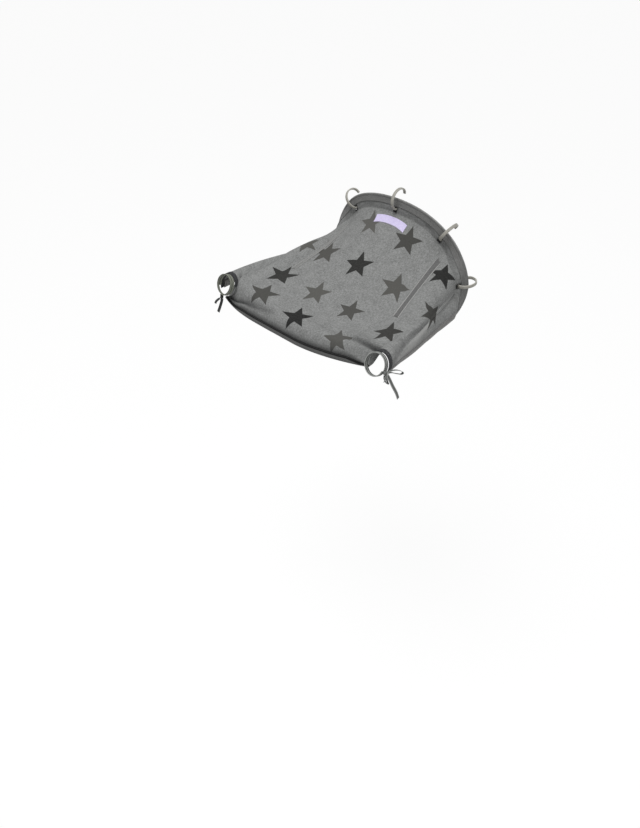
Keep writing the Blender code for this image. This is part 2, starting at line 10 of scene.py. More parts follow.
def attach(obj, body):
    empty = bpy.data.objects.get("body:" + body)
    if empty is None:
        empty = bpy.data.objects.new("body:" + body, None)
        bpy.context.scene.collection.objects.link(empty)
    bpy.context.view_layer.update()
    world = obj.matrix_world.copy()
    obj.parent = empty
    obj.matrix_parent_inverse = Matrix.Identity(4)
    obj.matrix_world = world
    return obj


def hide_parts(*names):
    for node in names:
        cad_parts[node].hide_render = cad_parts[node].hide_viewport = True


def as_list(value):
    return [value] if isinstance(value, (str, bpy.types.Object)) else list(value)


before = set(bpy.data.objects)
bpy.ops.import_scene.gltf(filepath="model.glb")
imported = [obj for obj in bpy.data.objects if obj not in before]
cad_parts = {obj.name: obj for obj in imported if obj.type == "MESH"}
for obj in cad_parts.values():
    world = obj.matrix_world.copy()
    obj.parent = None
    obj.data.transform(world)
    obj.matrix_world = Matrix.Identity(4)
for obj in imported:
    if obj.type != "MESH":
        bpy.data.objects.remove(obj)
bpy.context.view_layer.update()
print("the packed model is loaded")


# Sums on points

def eased(x, low, high):
    t = np.clip((np.asarray(x, float) - low) / (high - low), 0, 1)
    return t * t * (3 - 2 * t)


def triple(x, y, z):
    return np.stack(np.broadcast_arrays(x, y, z), axis=-1).astype(float)


def unit(v):
    return v / np.linalg.norm(v, axis=-1, keepdims=True)


def curved(t, start, leave, end, arrive):
    # a smooth curve between two points, with its steps at both ends
    line = (2 * t**3 - 3 * t**2 + 1) * start + (t**3 - 2 * t**2 + t) * leave
    return line + (3 * t**2 - 2 * t**3) * end + (t**3 - t**2) * arrive


def lengthAlong(points):
    # distance travelled at each point, along axis 0
    steps = np.linalg.norm(np.diff(points, axis=0), axis=-1)
    return np.concatenate([np.zeros_like(steps[:1]), np.cumsum(steps, axis=0)])


def flatOf(points):
    # flat coordinates in metres: x runs along the rows and y across them
    return triple(lengthAlong(points.transpose(1, 0, 2)).T, lengthAlong(points), 0)


# Camera, floor and light

view = {"place": (1.003, -1.26235, 0.64758), "azimuth": 44.845, "elevation": 37.866, "lens": 32.948}
# Each lamp's place, size and power
light = {"sky": 0.5, "key": ((-0.3, -0.8, 2.4), 1.4, 42), "fill": ((1.8, -0.6, 0.9), 1.2, 6),
         "aim": (0, -0.18, -0.1)}
ground = {"height": -1.1, "radius": 30, "colour": (0.9, 0.9, 0.9, 1), "white": 0.85, "glow": 1.05}


def addObject(name, data):
    made = bpy.data.objects.new(name, data)
    bpy.context.collection.objects.link(made)
    return made


def addCamera():
    azimuth, elevation = radians(view["azimuth"]), radians(view["elevation"])
    back = Vector((sin(azimuth) * cos(elevation), -cos(azimuth) * cos(elevation), sin(elevation)))
    right = Vector((cos(azimuth), sin(azimuth), 0))
    camera = addObject("camera", bpy.data.cameras.new("camera"))
    camera.data.lens = view["lens"]
    camera.data.sensor_width = 36
    camera.matrix_world = Matrix.Translation(view["place"]) @ Matrix(
        (right, back.cross(right), back)).transposed().to_4x4()
    bpy.context.scene.camera = camera


def addSoftLamp(name):
    place, size, power = light[name]
    lamp = addObject(name, bpy.data.lights.new(name, "AREA"))
    lamp.data.energy = power
    lamp.data.size = size
    lamp.location = place
    lamp.rotation_euler = (Vector(light["aim"]) - Vector(place)).to_track_quat("-Z", "Y").to_euler()


# Materials: sums on sockets are written as plain Python

class Wire:
    def __init__(self, finish, socket):
        self.finish, self.socket = finish, socket

    def maths(self, operation, *others):
        inputs = dict(enumerate((self, *others)))
        return self.finish.node("ShaderNodeMath", {"operation": operation}, inputs)

    __add__ = __radd__ = partialmethod(maths, "ADD")
    __sub__ = partialmethod(maths, "SUBTRACT")
    __mul__ = __rmul__ = partialmethod(maths, "MULTIPLY")
    __mod__ = partialmethod(maths, "FLOORED_MODULO")
    __abs__ = partialmethod(maths, "ABSOLUTE")

    def __rsub__(self, other):
        return self * -1.0 + other

    def fade(self, low, high):
        # 0 below low and 1 above high, or the reverse where low is the greater
        smooth = {"interpolation_type": "SMOOTHSTEP"}
        return self.finish.node("ShaderNodeMapRange", smooth, {0: self, 1: low, 2: high})


class Finish:
    def __init__(self, name, roughness=0.9, sheen=0):
        self.material = bpy.data.materials.new(name)
        self.material.use_nodes = True
        self.tree = self.material.node_tree
        self.shader = self.tree.nodes["Principled BSDF"]
        self.feed(self.shader, {"Roughness": roughness, "Sheen Weight": sheen, "Specular IOR Level": 0.3})

    def feed(self, node, inputs):
        for key, value in inputs.items():
            if isinstance(value, Wire):
                self.tree.links.new(value.socket, node.inputs[key])
            else:
                node.inputs[key].default_value = value

    def put(self, name, value):
        self.feed(self.shader, {name: value})

    def node(self, kind, settings=None, inputs=None, output=0):
        made = self.tree.nodes.new(kind)
        for name, value in (settings or {}).items():
            setattr(made, name, value)
        self.feed(made, inputs or {})
        return Wire(self, made.outputs[output])

    def place(self, name):
        # a vector kept with the mesh: all of it, then x, y and z
        found = self.node("ShaderNodeAttribute", {"attribute_name": name}, output=1)
        split = self.node("ShaderNodeSeparateXYZ", inputs={0: found})
        return [found, *[Wire(self, split.socket.node.outputs[k]) for k in range(3)]]

    def noise(self, where, scale, detail=2, roughness=0.5, stretch=None):
        if stretch:
            where = self.node("ShaderNodeVectorMath", {"operation": "MULTIPLY"}, {0: where, 1: stretch})
        return self.node("ShaderNodeTexNoise", {}, {"Vector": where, "Scale": scale, "Detail": detail,
                                                    "Roughness": roughness})

    def mix(self, factor, first, second):
        return self.node("ShaderNodeMix", {"data_type": "RGBA"}, {0: factor, 6: first, 7: second}, output=2)

    def bump(self, height, distance, strength):
        inputs = {"Strength": strength, "Distance": distance, "Height": height}
        self.put("Normal", self.node("ShaderNodeBump", {}, inputs))


def linear(*colour):
    # a colour as a screen shows it, 0 to 255, made linear
    return (*[c / 255 / 12.92 if c < 10 else ((c / 255 + 0.055) / 1.055) ** 2.4 for c in colour], 1)


# The shade's shape. A place on the cloth is (u, v). u runs across the arch from -1 at the left to 1, and v
# is 0 at the front edge, 1 where the flange starts and 2 at the rim. Lengths are metres, turns are degrees.

arch = {"halfWidth": 0.2005, "height": 0.161, "sweep": 106, "power": 2.2, "lean": 0.1,
        "endPull": 0.05, "endFrom": 0.78, "leftDraw": 0.013, "leftDrop": 0.006, "leftPart": (0.25, 0.75),
        "crown": (0.003, 0.0151)}
flange = {"width": 0.033, "crownTurn": 80, "sideTurn": 22, "endTurn": -25,
          "shoulder": (0.47, 0.72), "endPart": (0.85, 1)}
handle = {"radius": 0.0217, "x": 0.226, "y": -0.3313, "z": -0.1704, "tilt": 22}
front = {"cupRadius": 0.0252, "cupOffset": 0.0135, "cupStart": 215, "cupEnd": -35, "cupFrom": 0.72,
         "sag": 0.034, "bow": 0.01, "rollHeight": 0.034, "rollAt": 0.085, "hang": 1.6,
         "leftCup": (262, 0.0262, 0.007), "leftHang": 6.9}
drape = {
    "meetTurn": 62, "turnPart": (0.35, 0.85), "reachFront": 0.8, "reachFlange": 0.45, "dip": 0.22,
    "sidePart": (0.7, 0.88), "rollPart": (0.5, 0.72), "rise": (0, -0.3, 1), "sideBow": 0.02,
    "bowPart": (0.6, 0.82), "fill": 0.016, "fillAt": 0.7, "fillWidth": 0.11,
    "fillRows": (0.02, 0.16, 0.45, 1), "drawPart": (0.79, 0.97), "rightDraw": (
        (0, 0.1, 0.2, 0.32, 0.45, 0.55, 0.73, 0.88, 1),
        (0, 0.007, 0.013, 0.016, 0.019, 0.02, 0.016, 0.007, 0)),
}
# The part of the cloth that the left tie pulls nearly flat, and the tuck that this takes up
tight = {"until": -0.08, "inner": (-0.22, -0.08), "outer": -0.82, "outerDrift": 0.24, "outerFade": 0.09,
         "driftRows": (0.08, 0.2), "share": 0.8, "rows": (0.035, 0.1, 0.45, 0.85), "passes": 24,
         "tuck": (-0.9, -0.63), "tuckRows": (0.04, 0.1, 0.38, 0.55)}

# Folds: from (u, v) to (u, v), half width and height
folds = [
    (-0.62, 0.8, -0.56, 0.4, 0.05, -0.006),  # the long diagonal on the left, and the ridge beside it
    (-0.73, 0.8, -0.66, 0.36, 0.05, 0.004),
    (0.84, 0.88, 0.87, 0.34, 0.05, -0.005),
    (0.42, 0.2, 0.66, 0.12, 0.045, 0.005),
    (-0.51, 0.84, -0.555, 0.43, 0.016, 0.0018),  # the left casing's two puckered edges
    (-0.59, 0.8, -0.6, 0.45, 0.014, -0.0022),
    (0.79, 0.91, 0.778, 0.68, 0.028, -0.005),  # valley inside the right edge
    (0.778, 0.68, 0.831, 0.48, 0.028, -0.0055),
    (0.831, 0.48, 0.921, 0.08, 0.026, -0.006),
    (0.46, 0.122, 0.7, 0.14, 0.018, -0.008),  # the deep fold that runs into the right tie
    (0.44, 0.165, 0.68, 0.18, 0.02, 0.003),
    (-0.74, 0.034, -0.5, 0.046, 0.01, -0.0065),  # the crease that leaves the left tie
    (-0.5, 0.046, -0.24, 0.061, 0.013, -0.0045),
    (-0.8, 0.16, -0.5, 0.2, 0.02, -0.0016),
    (-0.82, 0.24, -0.55, 0.42, 0.018, -0.0016),
    (0.02, 0.158, 0.34, 0.137, 0.018, -0.0024),  # a soft wrinkle above the middle of the front
    (0.1, 0.195, 0.4, 0.19, 0.018, 0.0014),
]
foldEnds = (-0.3, 0.2, 0.8, 1.3)  # each fold rises and fades over these parts of its length
# Shade in the folds, given the same way, with half width and the shade at each end
shades = [
    (-0.74, 0.034, -0.5, 0.045, 0.009, 1, 0.85), (-0.5, 0.045, -0.22, 0.062, 0.012, 0.8, 0.1),
    (0.5, 0.128, 0.71, 0.145, 0.023, 0.35, 1), (0.79, 0.91, 0.778, 0.68, 0.024, 0.12, 0.22),
    (0.778, 0.68, 0.831, 0.48, 0.024, 0.22, 0.3), (0.831, 0.48, 0.921, 0.08, 0.024, 0.3, 0.3),
    (0.05, 0.152, 0.32, 0.134, 0.012, 0.12, 0.18),
]
# Painted light along the ridge beside the right edge, given the same way
ridgeLights = [(0.85, 0.9, 0.835, 0.68, 0.03, 0.15, 0.3), (0.835, 0.68, 0.895, 0.48, 0.03, 0.3, 0.5),
          (0.895, 0.48, 0.965, 0.1, 0.028, 0.5, 0.5)]
# Shade under the front hem, at the flange's foot, in the puckers and round the slots
hemShade = {"rows": (0.011, 0.036), "depth": 0.85, "until": 0.73}
footShade = {"depth": 0.36, "rows": (0.995, 1.03), "fade": 0.6, "fadeRows": (1.1, 1.5), "part": (0.5, 0.9)}
puckerShade = 90.0
slotShade = {"depth": 0.95, "reach": 0.0022}
# Puckers inside the rim's binding: u, half width and depth, and their rows
puckers = [(0.26, 0.045, -0.0036), (0.44, 0.03, -0.002), (0.6, 0.06, -0.0034), (-0.22, 0.05, -0.0016),
           (0.7, 0.03, -0.0018), (0.12, 0.03, -0.0016), (-0.5, 0.04, -0.002)]
puckerRows = (1, 1.16, 1.2, 1.44)


def between(x, rise, full, fall, end):
    # 0 up to rise, 1 from full to fall, and 0 again from end
    return eased(x, rise, full) * (1 - eased(x, fall, end))


def flangeTurn(u):
    reach = np.abs(u)
    side = (flange["crownTurn"] - flange["sideTurn"]) * eased(reach, *flange["shoulder"])
    end = (flange["sideTurn"] - flange["endTurn"]) * eased(reach, *flange["endPart"])
    return np.radians(flange["crownTurn"] - side - end)


def rimPoint(u):
    u = np.asarray(u, float)
    angle = radians(arch["sweep"]) * u
    sine, cosine = np.sin(angle), np.cos(angle)
    power = 2 / arch["power"]
    across = arch["halfWidth"] * np.sign(sine) * np.abs(sine) ** power
    drop = arch["height"] * (1 - np.sign(cosine) * np.abs(cosine) ** power)
    pulled = arch["endPull"] * (np.maximum(np.abs(u) - arch["endFrom"], 0) / (1 - arch["endFrom"])) ** 2
    left = eased(-u, *arch["leftPart"])
    (out, ahead), turn = arch["crown"], radians(flange["crownTurn"])
    crown = np.array([0, out * cos(turn) - ahead * sin(turn), out * sin(turn) + ahead * cos(turn)])
    return crown + triple(across + arch["leftDraw"] * left, arch["lean"] * drop - pulled,
                          -drop - arch["leftDrop"] * left)


def rimAxes(u):
    # unit vectors: along the back edge, away from its middle, out along the flange, and backwards
    along = unit(rimPoint(u + 0.001) - rimPoint(u - 0.001))
    radial = unit(np.cross(along, [0, 1, 0]))
    back = np.cross(radial, along)
    turn = flangeTurn(u)[..., None]
    return along, radial, np.sin(turn) * radial + np.cos(turn) * back, back


def flangePoint(u, inset, height=0):
    along, _, out, _ = rimAxes(u)
    inset, height = np.asarray(inset)[..., None], np.asarray(height)[..., None]
    return rimPoint(u) - inset * out + height * np.cross(along, out)


def handlePoint(angle, radius, along=0, side=1):
    turn, tilt = np.radians(angle), radians(handle["tilt"])
    across, up = radius * np.cos(turn), radius * np.sin(turn)
    return triple(side * (handle["x"] + across), handle["y"] + up * sin(tilt) + along * cos(tilt),
                  handle["z"] + up * cos(tilt) - along * sin(tilt))


def frontPoint(u):
    # the left corner is drawn further under its tube than the right one
    right = (front["cupStart"], front["cupRadius"], front["cupOffset"])
    middle = handlePoint(*right) - np.array([0, front["bow"], front["sag"]])
    halves = []
    for side, start, power in ((-1, front["leftCup"], front["leftHang"]), (1, right, front["hang"])):
        reach = np.maximum(side * u, 0)
        t = np.maximum(reach - front["cupFrom"], 0) / (1 - front["cupFrom"])
        angle, radius, offset = (a + (b - a) * t for a, b in zip(start, (front["cupEnd"], *right[1:])))
        part = np.minimum(reach / front["cupFrom"], 1)
        end = handlePoint(*start)
        hang = 1 - part ** power
        hem = triple(side * end[0] * part, *(end[k] + (middle[k] - end[k]) * hang for k in (1, 2)))
        cup = handlePoint(angle, radius, offset, side)
        halves.append(np.where((reach > front["cupFrom"])[..., None], cup, hem))
    return np.where((u < 0)[..., None], *halves)


def foldHeight(u, v):
    height = np.zeros(np.broadcast(u, v).shape)
    for uFrom, vFrom, uTo, vTo, width, peak in folds:
        du, dv = uTo - uFrom, vTo - vFrom
        place = ((u - uFrom) * du + (v - vFrom) * dv) / (du * du + dv * dv)
        off = ((u - uFrom) * dv - (v - vFrom) * du) / hypot(du, dv)
        height += peak * between(place, *foldEnds) * np.exp(-((off / width) ** 2))
    return height


def puckerDepth(u, v):
    depth = sum(depth * np.exp(-((u - at) / width) ** 2) for at, width, depth in puckers)
    return depth * between(v, *puckerRows)


def strokesAt(strokes, u, v):
    tone = np.zeros(np.broadcast(u, v).shape)
    for uFrom, vFrom, uTo, vTo, width, first, last in strokes:
        du, dv = uTo - uFrom, vTo - vFrom
        place = np.clip(((u - uFrom) * du + (v - vFrom) * dv) / (du * du + dv * dv), 0, 1)
        off = np.hypot(u - uFrom - place * du, v - vFrom - place * dv)
        tone = np.maximum(tone, (first + (last - first) * place) * np.exp(-((off / width) ** 2)))
    return tone


def shadeAt(u, v):
    dark = strokesAt(shades, u, v)
    hem = hemShade["depth"] * (1 - eased(v, *hemShade["rows"])) * (np.abs(u) < hemShade["until"])
    foot = footShade["depth"] * eased(v, *footShade["rows"]) * (1 - eased(np.abs(u), *footShade["part"]))
    foot = foot * (1 - footShade["fade"] * eased(v, *footShade["fadeRows"]))
    for low, high in net.slots:
        beside = np.maximum(np.abs(u - (low + high) / 2) / (high - low) - 0.5, 0) * cloth["slotWidth"]
        first, last = net.slotRows
        beyond = np.maximum(np.abs(v - (first + last) / 2) - (last - first) / 2, 0) * flange["width"]
        near = np.exp(-(beside**2 + beyond**2) / slotShade["reach"] ** 2)
        dark = np.maximum(dark, slotShade["depth"] * near)
    return np.maximum.reduce([dark, hem, foot, -puckerShade * puckerDepth(u, v)])


def clothPoint(u, v):
    # a smooth curve from the front edge to the flange, with its roll, folds, fill and bow; and the flange
    reach = np.abs(u)
    _, radial, out, back = rimAxes(u)
    start, end = frontPoint(u), rimPoint(u) - flange["width"] * out
    chord = end - start
    size = np.linalg.norm(chord, axis=-1, keepdims=True)
    side = eased(reach, *drape["sidePart"])[..., None]
    turn = (radians(drape["meetTurn"]) * (1 - eased(reach, *drape["turnPart"])))[..., None]
    arrive = (np.sin(turn) * radial + np.cos(turn) * back) * size * drape["reachFlange"]
    arrive = arrive + (chord - arrive) * side
    leave = chord - drape["dip"] * size * (1 - side) * np.array([0, 0, 1])
    leave = leave * (drape["reachFront"] * (1 - side) + side)
    point = curved(np.clip(v, 0, 1)[..., None], start, leave, end, arrive)
    roll = front["rollHeight"] * (1 - eased(reach, *drape["rollPart"]))
    rise = roll * v / front["rollAt"] * np.exp(1 - v / front["rollAt"]) + foldHeight(u, v)
    valley = np.exp(-((reach - drape["fillAt"]) / drape["fillWidth"]) ** 2)
    rise = rise + drape["fill"] * valley * between(v, *drape["fillRows"])
    point = point + rise[..., None] * np.array(drape["rise"])
    bow = drape["sideBow"] * eased(reach, *drape["bowPart"]) * np.sin(pi * np.clip(v, 0, 1))
    bow = bow - np.interp(v, *drape["rightDraw"]) * eased(u, *drape["drawPart"])
    point = point + triple(np.sign(u) * bow, 0, 0)
    return np.where((v > 1)[..., None], flangePoint(u, flange["width"] * (2 - v), puckerDepth(u, v)), point)


# The cloth is a fine net of points, and every sewn piece takes its place from it

cloth = {"columns": 321, "rows": ((0, 0.16, 40), (0.16, 1, 150), (1, 2, 24)), "footPasses": 3,
         "thickness": 0.001, "slotInboard": 0.0074, "slotOutboard": 0.003, "slotWidth": 0.0088,
         "flat": (0.7, 0.43), "cut": 0.208}
# Each claw's hinge: its place, the way out along the flange, and the way its strap leaves the bar
claws = {"across": (-0.8275, -0.39, 0, 0.39, 0.785), "inset": 0.0235, "places": np.array([
    ((-0.17559, -0.02239, -0.15155), (-0.37985, 0.91387, -0.14338), (-0.92372, -0.36642, 0.1117)),
    ((-0.11927, -0.01175, -0.05081), (-0.65281, -0.0336, 0.75677), (-0.0342, -0.99669, -0.07376)),
    ((0, -0.01544, -0.01846), (0, 0.00045, 1), (0, -1, 0.00045)),
    ((0.12363, -0.01175, -0.05103), (0.54658, 0.22513, 0.80657), (0.18228, -0.97207, 0.14781)),
    ((0.18772, -0.02146, -0.13428), (0.45952, 0.88113, 0.1116), (0.88066, -0.46832, 0.07145)),
])}


def withPlaces(line, places):
    # the nearest lines of the net move to these places
    for place in places:
        line[np.argmin(np.abs(line - place))] = place
    return line


def rowAt(inset):
    return 2 - inset / flange["width"]


def hullOver(x, z):
    # a tight string over these points
    kept = []
    for i in np.argsort(x):
        while len(kept) > 1 and ((z[kept[-1]] - z[kept[-2]]) * (x[i] - x[kept[-2]])
                                 <= (z[i] - z[kept[-2]]) * (x[kept[-1]] - x[kept[-2]])):
            kept.pop()
        kept.append(i)
    return np.interp(x, x[kept], z[kept])


def relax(table):
    # every row inside goes halfway to the middle of its neighbours
    table[1:-1] = (table[:-2] + 2 * table[1:-1] + table[2:]) / 4


def drawnTight(points, u, v):
    # the valley beside the left tube is lifted towards a tight string
    left = u < tight["until"]
    lift = np.zeros(points.shape[:2])
    first, full, fall, last = tight["rows"]
    for i in np.flatnonzero((v > first) & (v < last)):
        x, z = points[i, left, 0], points[i, left, 2]
        outer = tight["outer"] - tight["outerDrift"] * eased(v[i], *tight["driftRows"])
        share = tight["share"] * between(v[i], first, full, fall, last)
        share = share * between(u[left], outer, outer + tight["outerFade"], *tight["inner"])
        lift[i, left] = share * (hullOver(x, z) - z)
    for _ in range(tight["passes"]):
        relax(lift.T)
        relax(lift)
    points[..., 2] += lift
    # across the tuck beside the tube the cloth runs on in one smooth line
    far, near = (np.argmin(np.abs(u - place)) for place in tight["tuck"])
    span = u[near] - u[far]
    flat = points[..., :2]
    leave, arrive = ((flat[:, [k + 1]] - flat[:, [k - 1]]) / (u[k + 1] - u[k - 1]) * span
                     for k in (far, near))
    line = curved(((u - u[far]) / span)[None, :, None], flat[:, [far]], leave, flat[:, [near]], arrive)
    inside = ((u > u[far]) & (u < u[near]))[None, :, None]
    points[..., :2] += between(v, *tight["tuckRows"])[:, None, None] * inside * (line - flat)


def cellOf(line, x):
    # which step of a line each place is in, and how far along it
    k = np.clip(np.searchsorted(line, x, side="right") - 1, 0, len(line) - 2)
    return k, ((x - line[k]) / (line[k + 1] - line[k]))[..., None]


class Net:
    def __init__(self):
        self.slots = []
        halfSlot = cloth["slotWidth"] / 2
        for middle, (place, out, ahead) in zip(claws["across"], claws["places"]):
            u = np.linspace(middle - 0.06, middle + 0.06, 49)
            past = (flangePoint(u, claws["inset"]) - place) @ np.cross(out, ahead)
            self.slots.append(tuple(np.interp((-halfSlot, halfSlot), past, u)))
        self.slotRows = [rowAt(claws["inset"] + x) for x in (cloth["slotInboard"], -cloth["slotOutboard"])]
        self.u = withPlaces(np.linspace(-1, 1, cloth["columns"]), [x for slot in self.slots for x in slot])
        rows = np.unique(np.concatenate([np.linspace(*part) for part in cloth["rows"]]))
        self.v = withPlaces(rows, self.slotRows)
        points = clothPoint(*np.broadcast_arrays(self.u[None, :], self.v[:, None]))
        drawnTight(points, self.u, self.v)
        for _ in range(cloth["footPasses"]):  # takes the hard line out of the flange's foot
            relax(points)
        self.points = points
        self.normals = unit(np.cross(np.gradient(points, axis=1), np.gradient(points, axis=0)))
        self.flat = flatOf(points)
        self.flat[..., 0] -= self.flat[:, [len(self.u) // 2], 0]

    def read(self, table, u, v):
        # the value of a table at places between the net's own points
        u, v = np.broadcast_arrays(np.clip(u, -1, 1), np.clip(v, 0, 2))
        (j, s), (i, t) = cellOf(self.u, u), cellOf(self.v, v)
        low = table[i, j] * (1 - s) + table[i, j + 1] * s
        high = table[i + 1, j] * (1 - s) + table[i + 1, j + 1] * s
        return low * (1 - t) + high * t

    def at(self, u, v, lift=0):
        normals = unit(self.read(self.normals, u, v))
        return self.read(self.points, u, v) + np.asarray(lift)[..., None] * normals


net = Net()
print("the cloth's net is made")


# Builders that the pieces share

sharpAngle = 50.0  # degrees, from which an edge stays sharp


def addMesh(name, points, faces, finishes, attributes=(), smooth=True):
    mesh = bpy.data.meshes.new(name)
    faces = [list(map(int, face)) for face in faces]
    mesh.from_pydata(np.asarray(points).reshape(-1, 3).tolist(), [], faces)
    for finish in finishes:
        mesh.materials.append(finish.material)
    for label, domain, values in attributes:
        made = mesh.attributes.new(label, "FLOAT_VECTOR", domain)
        made.data.foreach_set("vector", np.asarray(values, np.float32).ravel())
    if smooth:
        mesh.shade_smooth()
    return addObject(name, mesh)


def gridFaces(rows, columns, keep=None):
    index = np.arange(rows * columns).reshape(rows, columns)
    faces = np.stack([index[:-1, :-1], index[:-1, 1:], index[1:, 1:], index[1:, :-1]], axis=-1)
    return faces.reshape(-1, 4) if keep is None else faces[keep]


def standsFor(piece, node, body="cloth"):
    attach(piece, body)
    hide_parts(node)
    return piece


def addStrip(name, points, thickness, finish, node):
    # a sewn strip of cloth from rows of points
    made = addMesh(name, points, gridFaces(*points.shape[:2]), [finish], [("flat", "POINT", flatOf(points))])
    skin = made.modifiers.new("thickness", "SOLIDIFY")
    skin.thickness, skin.offset = thickness, 0.0
    return standsFor(made, node)


def sweptPart(points, across, width, thickness, sides, power):
    # a flat bar or tape along a line, as points, faces and flat coordinates
    points = np.asarray(points, float)
    count = len(points)
    along = unit(np.gradient(points, axis=0))
    across = np.broadcast_to(np.asarray(across, float), points.shape)
    across = unit(across - (across * along).sum(-1, keepdims=True) * along)
    up = np.cross(along, across)
    angle = 2 * np.pi * np.arange(sides) / sides
    c, s = np.cos(angle), np.sin(angle)
    reach = (np.abs(c) ** power + np.abs(s) ** power) ** (-1 / power)
    width, thickness = (np.broadcast_to(x, count)[:, None, None] for x in (width, thickness))
    ring = (points[:, None] + (reach * c)[None, :, None] * across[:, None] * width / 2
            + (reach * s)[None, :, None] * up[:, None] * thickness / 2)
    index = np.arange(count * sides).reshape(count, sides)
    nextOne = np.roll(index, -1, axis=1)
    faces = np.stack([index[:-1], nextOne[:-1], nextOne[1:], index[1:]], axis=-1).reshape(-1, 4).tolist()
    faces += [index[0][::-1].tolist(), index[-1].tolist()]
    flat = triple(lengthAlong(points)[:, None], (reach * c) * width[..., 0] / 2, reach * s)
    return ring.reshape(-1, 3), faces, flat.reshape(-1, 3)


def addSwept(name, parts, finish, node, body="cloth"):
    points, faces, flat = parts[0]
    for p, f, t in parts[1:]:
        faces = faces + [[i + len(points) for i in face] for face in f]
        points, flat = np.concatenate([points, p]), np.concatenate([flat, t])
    made = addMesh(name, points, faces, [finish], [("flat", "POINT", flat)])
    made.data.set_sharp_from_angle(angle=radians(sharpAngle))
    return standsFor(made, node, body)


def smoothPath(points, steps=8):
    # a curve through all the points, without corners
    points = np.asarray(points, float)
    ends = np.concatenate([[2 * points[0] - points[1]], points, [2 * points[-1] - points[-2]]])
    path = []
    for k in range(len(points) - 1):
        a, b, c, d = ends[k:k + 4]
        for t in np.arange(steps) / steps:
            path.append(0.5 * (2 * b + (c - a) * t + (2 * a - 5 * b + 4 * c - d) * t**2
                               + (3 * b - a - 3 * c + d) * t**3))
    return np.array(path + [points[-1]])


# Finishes

thread = 0.0006
grey = {
    "pale": linear(147, 148, 147), "deep": linear(111, 112, 111), "roughness": 0.92, "sheen": 0.04,
    "starDark": linear(14, 14, 13), "starPale": linear(96, 95, 91), "starRadius": 0.033, "starInner": 0.42,
    "starEdge": 0.0003, "starWear": 0.08, "starSmoother": 0.1, "starFlatter": 0.55,
    # the ridge colour is painted light, and the shadow colour is painted shade
    "ridgeLight": linear(176, 176, 174), "shadow": linear(14, 14, 15), "shadowDepth": 0.88,
}
# Melange yarn: noise scales, and the few pale specks in it
yarn = {"broad": 45, "flecks": 420, "along": (0.45, 1, 1), "across": (1, 0.4, 1), "specks": 300,
        "speckFrom": (0.64, 0.74), "speckShare": 0.3, "speck": linear(178, 179, 177)}
sewing = {"pitch": 0.0034, "thread": 0.0009}


def ribbed(x, rib):
    return (x * (2 * pi / rib)).maths("SINE")


def weave(x, y):
    # over and under threads, as a height from 0 to 1
    return ribbed(x, 2 * thread) * ribbed(y, 2 * thread) * 0.5 + 0.5


def melange(finish, place, pale, deep):
    broad = finish.noise(place, yarn["broad"], 3)
    flecks = finish.noise(place, yarn["flecks"], 2, 0.6, yarn["along"])
    cross = finish.noise(place, yarn["flecks"], 2, 0.6, yarn["across"])
    shade = (broad - 0.5) * 0.5 + (flecks - 0.5) * 1.1 + (cross - 0.5) * 1.1 + 0.5
    colour = finish.mix(shade.fade(0.1, 0.9), deep, pale)
    specks = finish.noise(place, yarn["specks"], 1).fade(*yarn["speckFrom"]) * yarn["speckShare"]
    return finish.mix(specks, colour, yarn["speck"])


def starMask(finish, place, sx, sy):
    # 1 inside a ragged five-pointed star, folded so that one tenth of it draws the rest
    radius = (sx * sx + sy * sy).maths("SQRT")
    tip = sx.maths("ARCTAN2", sy)
    fold = abs((tip + pi / 5) % (2 * pi / 5) - pi / 5)
    inner = grey["starInner"]
    nx, ny = inner * sin(pi / 5), 1 - inner * cos(pi / 5)
    size = hypot(nx, ny)
    outside = (radius * fold.maths("COSINE") - grey["starRadius"]) * (nx / size)
    outside = outside + radius * fold.maths("SINE") * (ny / size)
    ragged = (finish.noise(place, 900, 2) - 0.5) * (2 * grey["starEdge"])
    return (outside + ragged).fade(grey["starEdge"], -grey["starEdge"])


def clothFinish(name, printed):
    finish = Finish(name, grey["roughness"], grey["sheen"])
    place, x, y, _ = finish.place("flat")
    colour = melange(finish, place, grey["pale"], grey["deep"])
    height = weave(x, y)
    if printed:
        _, sx, sy, tone = finish.place("star")
        mask = starMask(finish, place, sx, sy)
        ink = finish.mix(tone, grey["starDark"], grey["starPale"])
        worn = finish.noise(place, 260, 3, 0.65).fade(0.3, 0.75) * grey["starWear"]
        colour = finish.mix(mask, colour, finish.mix(worn, ink, colour))
        finish.put("Roughness", mask * -grey["starSmoother"] + grey["roughness"])
        height = height * (1 - mask * grey["starFlatter"])
        # the shade attribute holds painted shade in x and the right ridge's painted light in y
        _, shade, ridgeLight, _ = finish.place("shade")
        colour = finish.mix(ridgeLight * (1 - mask), colour, grey["ridgeLight"])
        colour = finish.mix(shade * grey["shadowDepth"], colour, grey["shadow"])
    finish.put("Base Color", colour)
    finish.bump(height, 0.00025, 0.6)
    return finish


def stitches(x, y, lines):
    # rows of machine stitches, each row at its own distance across the strip
    pitch, size = sewing["pitch"], sewing["thread"]
    dash = abs(x % pitch - pitch / 2).fade(pitch * 0.42, pitch * 0.3)
    rows = None
    for line in lines:
        row = abs(y - line).fade(size * 0.62, size * 0.3)
        rows = row if rows is None else rows.maths("MAXIMUM", row)
    return rows * dash


